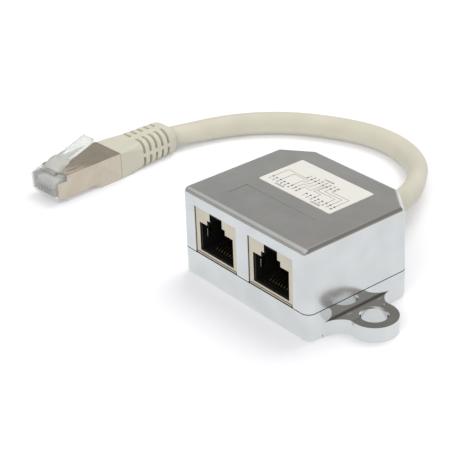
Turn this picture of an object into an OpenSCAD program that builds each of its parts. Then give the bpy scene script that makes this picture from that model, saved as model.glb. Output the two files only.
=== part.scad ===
// Shielded RJ45 splitter: two jacks in a die-cast housing with screw lugs, on a short cable with a plug.
// Millimetres. X runs right along the jack side, Y runs back towards the cable, Z is up.
// The origin is under the middle of the housing, on the surface that it stands on.

/* [Housing] */
// Width of the housing at the parting line
body_w = 47.6; // [46:0.2:56]
// How far each side wall leans in from the parting line to the top
side_lean = 0.6; // [0.2:0.1:0.8]
// Length of each side wall, from the front to the cut-off rear corner
side_l = 32.3; // [31.5:0.1:44]
// Width of each cut-off rear corner
chamfer_w = 8.2; // [6:0.1:9]
// Depth of each cut-off rear corner
chamfer_d = 6.2; // [5.5:0.1:8]
// Space between the jacks and the roof
headroom = 1.9; // [0.4:0.1:6]
// Height of the lower shell, up to the parting line
base_h = 7.8; // [7.4:0.1:9]
// Thickness of the cast walls
wall = 2; // [1.6:0.1:2.4]
// Radius of the upright corners, up to the parting line
corner_r = 2.3; // [1.9:0.1:3]
// Radius of the upright corners at the top
top_corner_r = 1.7; // [1.6:0.1:2.4]
// Radius of the corners inside the housing
inner_r = 0.8; // [0.4:0.1:1.2]
// Radius of the round along the top edges
edge_r = 1.5; // [0.8:0.1:1.6]
// Radius of the round along the bottom edges
foot_r = 1.2; // [0.6:0.1:1.6]
// Gap at the parting line between the two shells
part_gap = 0.2; // [0.1:0.05:0.3]
// Height of the locating rim inside the parting line
rim_h = 1; // [0.6:0.1:1.4]
// Thickness of the locating rim
rim_t = 0.8; // [0.6:0.1:1]

/* [Screw lugs] */
// Distance from the side wall to the middle of a lug's hole
lug_reach = 5.3; // [4.8:0.1:8]
// Radius of a lug's round end
lug_r = 6.1; // [5:0.1:7]
// Thickness of a lug
lug_t = 4.1; // [3:0.1:5]
// Radius of the hollow curves that run from a lug into the wall
lug_flare_r = 4; // [3:0.1:6]
// Radius of a lug's hole
lug_hole_r = 3.2; // [2:0.1:3.6]
// Chamfer round the top of a lug's hole
lug_hole_chamfer = 0.4; // [0.2:0.1:0.7]
// Distance from the front face to the lug holes
lug_y = 16.4; // [15:0.1:18]

/* [Top face] */
// Width of the shallow panel in the top face
panel_w = 25.6; // [15:0.1:30]
// Length of the shallow panel
panel_l = 6.3; // [3:0.1:8]
// Depth of the shallow panel
panel_depth = 0.15; // [0.05:0.05:0.4]
// Distance from the front face to the panel
panel_y = 6.3; // [4:0.1:8]
// Width of the paper label
label_w = 26.3; // [15:0.1:30]
// Length of the paper label
label_l = 14.9; // [8:0.1:16]
// Thickness of the paper label
label_t = 0.12; // [0.1:0.02:0.2]
// Radius of the label's corners
label_r = 0.5; // [0.3:0.1:2]
// Distance from the front face to the label
label_y = 16.8; // [15:0.1:20]

/* [Jacks] */
// Distance between the middles of the two jacks
jack_pitch = 20.7; // [19.5:0.1:22]
// Width of a jack over its shield
jack_w = 16; // [15.4:0.1:16.4]
// Height of a jack over its shield
jack_h = 13; // [12.8:0.1:13.6]
// Length of a jack over its shield
jack_l = 18; // [17.4:0.1:19]
// Distance from the front face of the housing back to the face of a jack
jack_recess = 0.3; // [0.1:0.1:0.8]
// Gap between a jack and the edge of its cut-out
jack_gap = 0.15; // [0.1:0.05:0.3]
// Thickness of a jack's shield
shield_t = 0.3; // [0.2:0.05:0.4]
// Width of the plug opening in a shield
mouth_w = 13; // [12.6:0.1:13.4]
// Height of the plug opening, below its steps
mouth_h = 8; // [7.4:0.1:8.4]
// Height of the plug opening's lower edge above the board
mouth_z = 1.1; // [0.9:0.1:1.3]
// Width of the step between the plug opening and the latch notch
step_w = 7; // [6:0.1:8]
// Height of that step
step_h = 1.4; // [1:0.1:1.8]
// Width of the latch notch
notch_w = 4.8; // [4.2:0.1:5.4]
// Width of the cavity in the insulator
cavity_w = 12.1; // [11.9:0.1:12.4]
// Length of the cavity in the insulator
cavity_l = 12.5; // [11.5:0.1:13]
// Distance from a jack's face to the ground tabs that its shield presses inwards
tab_y = 2; // [1.6:0.1:3]
// Length of a ground tab
tab_l = 1.3; // [0.8:0.1:2]
// Height of a ground tab's lower end above the plug opening's lower edge
tab_z = 3.1; // [2:0.1:4]
// Height of a ground tab
tab_h = 2.4; // [1.6:0.1:3]
// Distance between neighbouring contacts
contact_pitch = 1.02; // [1:0.01:1.05]
// Thickness of a contact wire
contact_t = 0.35; // [0.25:0.05:0.45]
// Distance from the insulator's face to the nearer row of contact pins
pin_row = 13.2; // [12.8:0.1:13.6]
// Distance between the two rows of contact pins
pin_row_gap = 2.2; // [1.8:0.1:2.4]
// Height that the free end of a contact rises over the cavity's floor
contact_rise = 3; // [2:0.1:3.2]
// Radius of the pegs that hold a jack in the board
peg_r = 1.5; // [1.2:0.1:1.7]
// Distance between a jack's two pegs
peg_span = 11.4; // [10.6:0.1:12.2]

/* [Circuit board] */
// Thickness of the board
board_t = 1.6; // [1:0.1:1.8]
// Length of the board
board_l = 22.6; // [22:0.1:23.4]
// Radius of the posts that carry the board
post_r = 1.4; // [1.2:0.1:1.6]
// Radius of the pins that locate the board
pin_r = 0.8; // [0.5:0.1:1]
// Radius of the soldered holes
pad_r = 0.45; // [0.4:0.05:0.5]

/* [Case screws] */
// Distance between the two case screws
screw_span = 30; // [29:0.5:32]
// Distance from the front face to the case screws
screw_y = 29.6; // [29.4:0.1:30]
// Radius of a case screw
screw_r = 1.25; // [1:0.05:1.5]
// Radius of a screw head
screw_head_r = 2.3; // [2:0.1:2.5]
// Length of a case screw
screw_l = 12; // [10:0.5:16]
// Radius of the screw bosses
boss_r = 2.8; // [2.6:0.1:3]

/* [Cable] */
// Width of the oval cable
cable_w = 5.5; // [5:0.1:5.6]
// Height of the oval cable
cable_h = 6.9; // [6:0.1:6.9]
// Radius of a single wire over its insulation
wire_r = 0.46; // [0.35:0.01:0.48]
// Outer radius of the ferrule that grips the braid
ferrule_r = 4.3; // [4:0.1:4.6]
// Length of the ferrule
ferrule_l = 5; // [4:0.1:5.4]
// Width of the seat that clamps the ferrule
seat_w = 12; // [11:0.1:14]

/* [Plug] */
// Width of the plug over its shield
plug_w = 11.8; // [11.6:0.1:12]
// Height of the plug's nose
plug_h = 6.72; // [6.6:0.02:6.9]
// Length of the plug, from the nose to the end of the shield
plug_l = 23.5; // [22.5:0.1:25]
// How far the rear of the plug reaches below its nose
plug_step = 1.5; // [1.3:0.1:1.5]
// Distance from the nose to that step
plug_step_y = 15.5; // [14.5:0.1:17]
// Thickness of the plug's shield
plug_shield_t = 0.2; // [0.15:0.05:0.3]
// Width of the latch at its shoulders
latch_w = 6.2; // [5.6:0.1:6.6]
// Width of the latch lever
latch_lever_w = 4.8; // [3.6:0.1:5]
// Thickness of the latch
latch_t = 1; // [0.8:0.1:1.3]
// Distance from the nose to the free end of the latch
latch_l = 17; // [14:0.1:18]
// Height of the latch's free end over the plug's lower face
latch_z = 12.6; // [11:0.1:13.4]

/* [Boot] */
// Length of the strain relief boot
boot_l = 22.3; // [20:0.1:24]
// Width of the boot at its rear end
boot_end_w = 11.2; // [10:0.1:11.4]
// Height of the boot at its rear end
boot_end_h = 9; // [8.4:0.1:9.2]
// Number of slotted rings
boot_rows = 5; // [3:1:6]
// Distance from one ring to the next
boot_pitch = 2.35; // [2:0.05:2.4]
// Width of a slot
boot_slot = 0.8; // [0.5:0.1:1]
// Depth of a slot
boot_slot_depth = 1.1; // [0.6:0.1:1.2]

/* [Hidden] */
$fn = 48;
eps = 0.01;
fit = 0.1;
loose = 0.2;

// The cable's route, chosen by hand: out of the rear wall, down to the surface and round to the plug
cable_route = [
    [0, 11.2, 10.5], [0, 19.5, 10.5], [0.5, 27, 10.3], [0.5, 33, 9.8], [-1.5, 38.5, 9],
    [-4.5, 44, 7.9], [-8, 49, 6.8], [-12, 54, 5.8], [-16.5, 58.8, 4.9], [-22, 63, 4.1],
    [-28.5, 66.2, 3.6], [-36, 67.8, 3.5], [-44, 67.3, 3.5], [-52, 64.9, 3.5], [-59.5, 61.3, 3.5],
    [-66.5, 56.7, 3.5], [-72.5, 51, 3.5], [-77.5, 44, 3.5], [-81, 36.5, 3.5], [-83.2, 29, 3.7],
    [-84.7, 24, 3.9], [-85.2, 20, 4.1], [-84.6, 10, 4.1], [-83.9, -0.8, 4.1]];
// Where the plug lies: the middle of its nose's lower edge, and how far it is turned
plug_at = [-82.5, -24.4, 1.5];
plug_turn = 3.5;
// Height of the cable over the plug's lower face
plug_axis_z = 2.6;

board_top = base_h + fit;
body_h = board_top + jack_h + headroom + wall;
body_l = side_l + chamfer_d;
front_y = -body_l / 2;
back_y = body_l / 2;
roof_z = body_h - wall;
floor_z = wall;
corner_points = [
    [-body_w / 2, front_y], [body_w / 2, front_y], [body_w / 2, front_y + side_l],
    [body_w / 2 - chamfer_w, back_y], [-body_w / 2 + chamfer_w, back_y], [-body_w / 2, front_y + side_l]];
top_points = [for (p = corner_points) [p[0] - sign(p[0]) * side_lean, p[1]]];

board_z = board_top - board_t;
board_w = body_w - 2 * (wall + fit + rim_t + loose);
board_y = front_y + wall + rim_t + fit + loose;

jack_y = front_y + jack_recess;
jack_x = [-jack_pitch / 2, jack_pitch / 2];
jack_top = board_top + jack_h;
mouth_bottom = board_top + mouth_z;
mouth_top = mouth_bottom + mouth_h;
cavity_floor = mouth_bottom + 0.25;
cavity_top = mouth_top - 0.25;
insulator_w = jack_w - 2 * (shield_t + fit);
insulator_y = jack_y + shield_t + fit;
insulator_l = jack_l - 2 * (shield_t + fit);
insulator_top = jack_top - shield_t - fit;
contact_y = insulator_y + 2;
contact_rows = [insulator_y + pin_row, insulator_y + pin_row + pin_row_gap];
contact_z = board_top + 0.5;
peg_y = insulator_y + 8.5;
pad_rows = [board_y + board_l - 4.4, board_y + board_l - 2];

cable_z = cable_route[0][2];
cable_end = cable_route[0][1];
ferrule_y = back_y - wall - loose - ferrule_l;
seat_y = ferrule_y - loose;

screw_head_h = screw_head_r - screw_r;
screw_x = [-screw_span / 2, screw_span / 2];

plug_body_w = plug_w - 2 * plug_shield_t - fit;
boot_y = plug_l + fit;
boot_rows_y = boot_y + 9;

// Small vector functions
function unit(v) = v / norm(v);
function wrap(list, i) = list[(i + len(list)) % len(list)];
function outward(a, b) = unit([b[1] - a[1], a[0] - b[0]]);

// Middle of the round at corner i of a convex outline that runs anticlockwise
function round_centre(pts, i, r) =
    let (n1 = outward(wrap(pts, i - 1), pts[i]), n2 = outward(pts[i], wrap(pts, i + 1)))
    pts[i] - r * (n1 + n2) / (1 + n1 * n2);

// That outline moved in by d, with sharp corners
function inset_points(pts, d) = [for (i = [0 : len(pts) - 1]) round_centre(pts, i, d)];

// Points where the straight edges of the outline meet its rounds, moved in by inset
function edge_points(pts, r, inset = 0) = [
    for (i = [0 : len(pts) - 1])
        let (c = round_centre(pts, i, r),
             n1 = outward(wrap(pts, i - 1), pts[i]),
             n2 = outward(pts[i], wrap(pts, i + 1)))
        each [c + n1 * (r - inset), c + n2 * (r - inset)]];

// Rings of a tube along a route, with an oval section of the given half sizes
function route_dir(route, i) =
    unit(route[min(i + 1, len(route) - 1)] - route[max(i - 1, 0)]);
function ring(p, dir, half_w, half_h, sides) =
    let (side = unit(cross([0, 0, 1], dir)), up = cross(dir, side))
    [for (k = [0 : sides - 1])
        p + side * half_w * cos(360 * k / sides) + up * half_h * sin(360 * k / sides)];

module tube(route, half_w, half_h, sides) {
    rings = [for (i = [0 : len(route) - 1])
        each ring(route[i], route_dir(route, i), half_w, half_h, sides)];
    last = len(route) - 1;
    faces = concat(
        [[for (k = [0 : sides - 1]) k]],
        [[for (k = [0 : sides - 1]) last * sides + sides - 1 - k]],
        [for (i = [0 : last - 1], k = [0 : sides - 1])
            each [[i * sides + k, (i + 1) * sides + k, (i + 1) * sides + (k + 1) % sides],
                  [i * sides + k, (i + 1) * sides + (k + 1) % sides, i * sides + (k + 1) % sides]]]);
    polyhedron(rings, faces);
}

// Prism on a rounded outline, with true arcs at the corners
module rounded_prism(pts, r, h, inset = 0) {
    linear_extrude(h) polygon(edge_points(pts, r, inset));
    for (i = [0 : len(pts) - 1])
        translate(round_centre(pts, i, r)) cylinder(r = r - inset, h = h);
}

// A turned post with a rounded end. Six of them, one at each corner, span a shell's outer form.
module rounded_post(r, h, e) {
    arc = [for (a = [0 : 15 : 90]) [r - e + e * cos(a), h - e + e * sin(a)]];
    rotate_extrude($fn = 40) polygon(concat([[0, 0], [r, 0]], arc, [[0, h]]));
}

module upper_form() {
    hull() for (i = [0 : len(corner_points) - 1]) {
        translate(round_centre(corner_points, i, corner_r)) cylinder(r = corner_r, h = base_h, $fn = 40);
        translate(round_centre(top_points, i, top_corner_r)) rounded_post(top_corner_r, body_h, edge_r);
    }
}

module lower_form(h) {
    translate([0, 0, h]) mirror([0, 0, 1]) hull() for (i = [0 : len(corner_points) - 1])
        translate(round_centre(corner_points, i, corner_r)) rounded_post(corner_r, h, foot_r);
}

module box(x0, x1, y0, y1, z0, z1) {
    translate([x0, y0, z0]) cube([x1 - x0, y1 - y0, z1 - z0]);
}

module rounded_plate(w, l, h, r) {
    box(-w / 2 + r, w / 2 - r, -l / 2, l / 2, 0, h);
    box(-w / 2, w / 2, -l / 2 + r, l / 2 - r, 0, h);
    for (x = [-1, 1], y = [-1, 1])
        translate([x * (w / 2 - r), y * (l / 2 - r), 0]) cylinder(r = r, h = h);
}

// Prism along Y on a section that is drawn in X and Z
module along_y(y0, y1) {
    translate([0, y1, 0]) rotate([90, 0, 0]) linear_extrude(y1 - y0) children();
}

// Prism along X on a profile that is drawn in Y and Z
module along_x(x0, x1) {
    translate([x0, 0, 0]) rotate([90, 0, 90]) linear_extrude(x1 - x0) children();
}

module cable_section(grow) {
    sides = 12;
    polygon([for (k = [0 : sides - 1])
        [(cable_w / 2 + grow) * cos(360 * k / sides), (cable_h / 2 + grow) * sin(360 * k / sides)]]);
}

// Housing

module jack_cutouts() {
    half = jack_w / 2 + jack_gap;
    for (x = jack_x)
        box(x - half, x + half, front_y - 1, front_y + wall + 1, base_h - 1, jack_top + jack_gap);
}

module ferrule_space() {
    translate([0, seat_y - eps, cable_z]) rotate([-90, 0, 0])
        cylinder(r = ferrule_r + fit, h = back_y - wall - seat_y + eps);
    translate([0, 0, cable_z]) along_y(seat_y, back_y + 1) cable_section(loose);
}

module upper_shell() {
    color([0.80, 0.81, 0.82]) difference() {
        union() {
            difference() {
                upper_form();
                translate([0, 0, -1])
                    rounded_prism(inset_points(corner_points, wall), inner_r, roof_z + 1);
            }
            for (x = screw_x) translate([x, front_y + screw_y, base_h + part_gap])
                cylinder(r = boss_r, h = roof_z - base_h - part_gap + eps);
            box(-seat_w / 2, seat_w / 2, seat_y, back_y - wall + eps, cable_z + part_gap / 2, roof_z + eps);
        }
        box(-body_w, body_w, -body_l, body_l, -1, base_h + part_gap / 2);
        jack_cutouts();
        box(-seat_w / 2 - fit, seat_w / 2 + fit, back_y - wall - 1, back_y + 1, -1, cable_z + part_gap / 2);
        ferrule_space();
        for (x = screw_x) translate([x, front_y + screw_y, 0])
            cylinder(r = screw_r + 0.05, h = screw_l + 1.5);
        translate([0, front_y + panel_y + panel_l / 2, body_h - panel_depth])
            box(-panel_w / 2, panel_w / 2, -panel_l / 2, panel_l / 2, 0, 1);
    }
}

module lug_outline() {
    flare = [lug_flare_r, sqrt(pow(lug_r + lug_flare_r, 2) - pow(lug_reach - lug_flare_r, 2))];
    circle(r = lug_r);
    difference() {
        polygon([[-lug_reach - wall, -flare[1]], [flare[0] - lug_reach, -flare[1]], [0, 0],
                 [flare[0] - lug_reach, flare[1]], [-lug_reach - wall, flare[1]]]);
        for (side = [-1, 1]) translate([flare[0] - lug_reach, side * flare[1]]) circle(r = lug_flare_r);
    }
}

module lug(side) {
    translate([side * (body_w / 2 + lug_reach), front_y + lug_y, 0])
        mirror([side < 0 ? 1 : 0, 0, 0]) linear_extrude(lug_t) lug_outline();
}

module lug_hole(side) {
    translate([side * (body_w / 2 + lug_reach), front_y + lug_y, 0]) {
        translate([0, 0, -1]) cylinder(r = lug_hole_r, h = lug_t + 2);
        translate([0, 0, lug_t - lug_hole_chamfer])
            cylinder(r1 = lug_hole_r, r2 = lug_hole_r + lug_hole_chamfer + eps, h = lug_hole_chamfer + eps);
    }
}

module locating_rim() {
    difference() {
        union() {
            rounded_prism(inset_points(corner_points, wall - eps), inner_r, base_h - part_gap / 2);
            rounded_prism(inset_points(corner_points, wall + fit), inner_r, base_h + rim_h);
        }
        translate([0, 0, -1])
            rounded_prism(inset_points(corner_points, wall + fit + rim_t), inner_r, base_h + rim_h + 2);
        box(-body_w, body_w, -body_l, body_l, -1, base_h - rim_h);
        box(-body_w, body_w, -body_l, front_y + wall + 2 * rim_t + 1, -1, base_h + rim_h + 1);
        box(-seat_w / 2, seat_w / 2, 0, body_l, -1, base_h + rim_h + 1);
    }
}

module lower_shell() {
    posts = [[-board_w / 2 + 1.6, board_y + 1.8], [board_w / 2 - 1.6, board_y + 1.8],
             [-board_w / 2 + 1.6, board_y + board_l - 1.8], [board_w / 2 - 1.6, board_y + board_l - 1.8]];
    color([0.80, 0.81, 0.82]) difference() {
        union() {
            difference() {
                union() {
                    lower_form(base_h - part_gap / 2);
                    for (side = [-1, 1]) lug(side);
                }
                translate([0, 0, floor_z])
                    rounded_prism(inset_points(corner_points, wall), inner_r, base_h);
            }
            locating_rim();
            for (x = screw_x) translate([x, front_y + screw_y, floor_z - eps])
                cylinder(r = boss_r, h = base_h - part_gap / 2 - floor_z + eps);
            for (p = posts) translate([p[0], p[1], floor_z - eps]) {
                cylinder(r = post_r, h = board_z - floor_z + eps);
                cylinder(r = pin_r, h = board_z - floor_z + board_t);
            }
            box(-seat_w / 2, seat_w / 2, seat_y, back_y, floor_z - eps, cable_z - part_gap / 2);
        }
        ferrule_space();
        for (side = [-1, 1]) lug_hole(side);
        for (x = screw_x) translate([x, front_y + screw_y, -1]) {
            cylinder(r = screw_r + fit, h = base_h + 2);
            translate([0, 0, 1]) cylinder(r1 = screw_head_r + fit, r2 = screw_r + fit, h = screw_head_h);
            cylinder(r = screw_head_r + fit, h = 1 + eps);
        }
    }
}

module label() {
    color([0.92, 0.93, 0.90]) translate([0, front_y + label_y + label_l / 2, body_h])
        rounded_plate(label_w, label_l, label_t, label_r);
}

module case_screws() {
    color([0.62, 0.63, 0.64]) for (x = screw_x) translate([x, front_y + screw_y, 0]) difference() {
        union() {
            cylinder(r1 = screw_head_r, r2 = screw_r, h = screw_head_h);
            cylinder(r = screw_r, h = screw_l);
        }
        for (turn = [0, 90]) rotate([0, 0, turn]) box(-1.3, 1.3, -0.3, 0.3, -1, 0.8);
    }
}

// Circuit board

module circuit_board() {
    color([0.10, 0.36, 0.20]) difference() {
        box(-board_w / 2, board_w / 2, board_y, board_y + board_l, board_z, board_top);
        for (side = [-1, 1], y = [board_y + 1.8, board_y + board_l - 1.8])
            translate([side * (board_w / 2 - 1.6), y, board_z - 1]) cylinder(r = pin_r + fit, h = board_t + 2);
        for (x = jack_x) {
            for (side = [-1, 1]) translate([x + side * peg_span / 2, peg_y, board_z - 1])
                cylinder(r = peg_r + fit, h = board_t + 2);
            for (k = [0 : 7]) translate([x + contact_pitch * (k - 3.5), contact_rows[k % 2], board_z - 1])
                cylinder(r = pad_r, h = board_t + 2);
        }
    }
}

// Jacks, drawn at the middle of their own opening

module mouth_section(w, z0, z1, step, notch, top) {
    polygon([[-w / 2, z0], [w / 2, z0], [w / 2, z1], [step / 2, z1], [step / 2, z1 + step_h],
             [notch / 2, z1 + step_h], [notch / 2, top], [-notch / 2, top], [-notch / 2, z1 + step_h],
             [-step / 2, z1 + step_h], [-step / 2, z1], [-w / 2, z1]]);
}

module jack_shield(x) {
    color([0.80, 0.77, 0.70]) translate([x, 0, 0]) difference() {
        box(-jack_w / 2, jack_w / 2, jack_y, jack_y + jack_l, board_top, jack_top);
        box(-jack_w / 2 + shield_t, jack_w / 2 - shield_t, jack_y + shield_t, jack_y + jack_l - shield_t,
            board_top - 1, jack_top - shield_t);
        along_y(jack_y - 1, jack_y + shield_t + 1)
            mouth_section(mouth_w, mouth_bottom, mouth_top, step_w, notch_w, jack_top - shield_t - eps);
        box(-notch_w / 2, notch_w / 2, jack_y - 1, jack_y + 2, mouth_top, jack_top + 1);
    }
    color([0.80, 0.77, 0.70]) for (side = [-1, 1]) translate([x, 0, 0]) ground_tab(side, 0);
}

// One ground tab, from the shield's side wall to the side of the cavity
module ground_tab(side, grow) {
    inner = cavity_w / 2 - 0.05 - grow;
    outer = jack_w / 2 - shield_t + eps;
    mirror([side < 0 ? 1 : 0, 0, 0])
        box(inner, outer, jack_y + tab_y - grow, jack_y + tab_y + tab_l + grow,
            mouth_bottom + tab_z - grow, mouth_bottom + tab_z + tab_h + grow);
}

module jack_housing(x) {
    color([0.06, 0.06, 0.06]) translate([x, 0, 0]) {
        difference() {
            box(-insulator_w / 2, insulator_w / 2, insulator_y, insulator_y + insulator_l,
                board_top, insulator_top);
            along_y(insulator_y - 1, insulator_y + cavity_l)
                mouth_section(cavity_w, cavity_floor, cavity_top, step_w, notch_w, cavity_top + 3.4);
            for (k = [0 : 7]) translate([contact_pitch * (k - 3.5), 0, 0])
                box(-contact_t / 2 - fit, contact_t / 2 + fit, contact_y - 0.4,
                    contact_rows[k % 2] + contact_t / 2 + fit, board_top - 1, cavity_floor + eps);
            for (side = [-1, 1]) ground_tab(side, 0.15);
        }
        for (side = [-1, 1]) translate([side * peg_span / 2, peg_y, board_z - 0.6])
            cylinder(r = peg_r, h = board_t + 0.6 + eps);
    }
}

// Each contact is one bent wire: pin, run under the floor, and the spring that the plug presses
module contact(pin_y) {
    t = contact_t;
    spring_l = cavity_l - 4;
    top = cavity_floor + contact_rise;
    along_x(-t / 2, t / 2) polygon([
        [pin_y + t / 2, board_z - 1.2], [pin_y + t / 2, contact_z + t], [contact_y + 1.4, contact_z + t],
        [contact_y + spring_l, top - t], [contact_y + spring_l, top], [contact_y, contact_z + t],
        [contact_y, contact_z], [pin_y - t / 2, contact_z], [pin_y - t / 2, board_z - 1.2]]);
}

module jack_contacts(x) {
    color([0.83, 0.68, 0.32]) translate([x, 0, 0])
        for (k = [0 : 7]) translate([contact_pitch * (k - 3.5), 0, 0]) contact(contact_rows[k % 2]);
}

// Cable and its ferrule

module cable() {
    color([0.82, 0.80, 0.72]) tube(cable_route, cable_w / 2, cable_h / 2, 12);
}

module braid_ferrule() {
    color([0.72, 0.66, 0.45]) translate([0, 0, cable_z]) difference() {
        translate([0, ferrule_y, 0]) rotate([-90, 0, 0]) cylinder(r = ferrule_r, h = ferrule_l);
        along_y(ferrule_y - 1, ferrule_y + ferrule_l + 1) cable_section(fit);
    }
}

// A pair of wires from the end of the cable down to the board; k counts the pads from the left
module wire_pair(k, shade) {
    end_z = board_top + 0.1;
    color(shade) for (j = [0, 1]) {
        side = k - 1.5;
        from = [side * 1.1, cable_end - 0.05, cable_z + (j == 0 ? 0.7 : -0.7)];
        to = [side * 4.4 + (j - 0.5) * 2, pad_rows[j], end_z];
        tube([from, from - [0, 1.6, 0], [(from[0] + to[0]) / 2, to[1] + 1.6, from[2] - 0.3],
              [to[0], to[1] + 0.5, to[2] + 1.5], to + [0, 0.1, 0.6], to], wire_r, wire_r, 8);
    }
}

// Plug, drawn with its nose at the origin and then laid on the surface

module at_plug() {
    translate(plug_at) rotate([0, 0, plug_turn]) children();
}

module plug_body() {
    t = plug_shield_t + fit / 2;
    rear = -plug_step + t;
    top = plug_h - t;
    profile = [[0, 0.5], [0.4, 0], [4.2, 0], [4.2, t], [plug_step_y + t, t], [plug_step_y + t, rear],
               [plug_l - 0.2, rear], [plug_l - 0.2, top], [3.4, top], [1.5, 6.1], [0, 5.3]];
    color([0.85, 0.87, 0.86]) at_plug() {
        difference() {
            union() {
                along_x(-plug_body_w / 2, plug_body_w / 2) polygon(profile);
                intersection() {
                    along_x(-plug_w / 2 + 0.05, plug_w / 2 - 0.05) polygon(profile);
                    box(-plug_w, plug_w, -1, 0.6, -1, plug_h + 1);
                }
            }
            box(-4.15, 4.15, 1.2, plug_l, 3.2, 4.3);
            for (k = [0 : 7]) translate([contact_pitch * (k - 3.5), 0, 0])
                box(-0.22, 0.22, -1, 3.5, -1, 3.25);
        }
        latch();
    }
}

module latch() {
    slope = (latch_z - 9.4) / (latch_l - 7.2);
    along_x(-latch_w / 2, latch_w / 2) polygon([
        [1.7, 6], [3.2, 6.2], [5, 7.6], [6.2, 8.2], [7.2, 8.4], [7.2, 9.4], [5, 9], [1.7, 6.9]]);
    difference() {
        along_x(-latch_lever_w / 2, latch_lever_w / 2) polygon([
            [6.8, 8.4], [7.2, 9.4 - latch_t], [latch_l, latch_z - latch_t],
            [latch_l, latch_z], [6.8, 9.4]]);
        along_x(-0.7, 0.7) polygon([
            [8, 9.4 + 0.8 * slope - 0.4], [14, 9.4 + 6.8 * slope + 0.05], [14, 20], [8, 20]]);
    }
}

module plug_contacts() {
    color([0.83, 0.68, 0.32]) at_plug() for (k = [0 : 7]) translate([contact_pitch * (k - 3.5), 0, 0])
        box(-0.17, 0.17, 0.6, 3.4, 0.1, 3.2);
}

// Two neighbouring conductors inside the clear body; k counts the pairs from the left
module plug_pair(k, shade) {
    color(shade) at_plug() for (j = [0, 1])
        translate([contact_pitch * (2 * k + j - 3.5), 1.4, 3.2 + 0.06 + wire_r]) rotate([-90, 0, 0])
            cylinder(r = wire_r, h = plug_l - 1.6);
}

module plug_shield() {
    t = plug_shield_t;
    side_profile = [[0.7, 0], [13.9, 0], [13.9, 0.35], [plug_step_y, 0.35], [plug_step_y, -plug_step],
                    [plug_l, -plug_step], [plug_l, plug_h], [4, plug_h], [4, 5.1], [0.7, 5.1]];
    color([0.78, 0.74, 0.67]) at_plug() {
        for (side = [-1, 1]) translate([side * (plug_w / 2 - t / 2), 0, 0])
            along_x(-t / 2, t / 2) polygon(side_profile);
        box(-plug_w / 2, plug_w / 2, 4, plug_l, plug_h - t, plug_h);
        box(-plug_w / 2, plug_w / 2, 4.4, 13.9, 0, t);
        box(-plug_w / 2, plug_w / 2, plug_step_y, plug_step_y + t, -plug_step, t);
        box(-plug_w / 2, plug_w / 2, plug_step_y, plug_l, -plug_step, -plug_step + t);
    }
}

// Boot

module boot_section(y, w, z0, z1, r) {
    translate([0, y, 0]) rotate([90, 0, 0]) linear_extrude(0.02)
        for (x = [-1, 1], z = [z0 + r, z1 - r]) translate([x * (w / 2 - r), z]) circle(r = r, $fn = 32);
}

module boot_form() {
    z0 = -plug_step;
    z1 = plug_h;
    rear = boot_y + boot_l;
    mid = boot_y + 7.6;
    hull() {
        boot_section(boot_y + 0.02, plug_w, z0, z1, 0.5);
        boot_section(mid, plug_w - 0.2, z0, z1 + 0.2, 2.6);
    }
    hull() {
        boot_section(mid, plug_w - 0.2, z0, z1 + 0.2, 2.6);
        boot_section(rear - 1.6, boot_end_w, z0, z0 + boot_end_h, 3.6);
    }
    hull() {
        boot_section(rear - 1.6, boot_end_w, z0, z0 + boot_end_h, 3.6);
        boot_section(rear, boot_end_w - 1.6, z0 + 0.5, z0 + boot_end_h - 0.8, 3.2);
    }
}

// One ring of four slots, with a bridge left at the top, the bottom and each side
module boot_ring(y) {
    half = boot_slot / 2;
    d = boot_slot_depth;
    w = boot_end_w / 2 + 0.3;
    z0 = -plug_step;
    z1 = z0 + boot_end_h;
    difference() {
        box(-plug_w, plug_w, y - half, y + half, z0 - 1, plug_h + 1);
        box(-w + d, w - d, y - 1, y + 1, z0 + d, z1 - d);
        box(-0.6, 1.7, y - 1, y + 1, z0 - 2, plug_h + 2);
        box(-plug_w - 1, plug_w + 1, y - 1, y + 1, 2.3, 3.4);
    }
}

module plug_boot() {
    color([0.84, 0.83, 0.76]) at_plug() difference() {
        boot_form();
        for (i = [0 : boot_rows - 1]) boot_ring(boot_rows_y + i * boot_pitch);
        translate([0, 0, plug_axis_z]) along_y(boot_y - 1, boot_y + boot_l + 1) cable_section(0.25);
    }
}

upper_shell();
lower_shell();
label();
case_screws();
circuit_board();
jack_shield(jack_x[0]);  // jack_left_shield
jack_shield(jack_x[1]);  // jack_right_shield
jack_housing(jack_x[0]);  // jack_left_housing
jack_housing(jack_x[1]);  // jack_right_housing
jack_contacts(jack_x[0]);  // jack_left_contacts
jack_contacts(jack_x[1]);  // jack_right_contacts
braid_ferrule();
cable();
wire_pair(0, [0.85, 0.45, 0.12]);  // pair_orange
wire_pair(1, [0.15, 0.50, 0.25]);  // pair_green
wire_pair(2, [0.15, 0.30, 0.65]);  // pair_blue
wire_pair(3, [0.40, 0.25, 0.15]);  // pair_brown
plug_body();
plug_contacts();
plug_shield();
plug_boot();
plug_pair(0, [0.85, 0.45, 0.12]);  // plug_pair_orange
plug_pair(1, [0.15, 0.50, 0.25]);  // plug_pair_green
plug_pair(2, [0.15, 0.30, 0.65]);  // plug_pair_blue
plug_pair(3, [0.40, 0.25, 0.15]);  // plug_pair_brown
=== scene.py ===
# Shielded network splitter: two jacks in a plated die-cast housing, on a short cable with a shielded plug.
# Everything is in metres, in the CAD model's own frame.
import math

import bmesh
import bpy
from mathutils import Matrix, Vector


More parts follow.
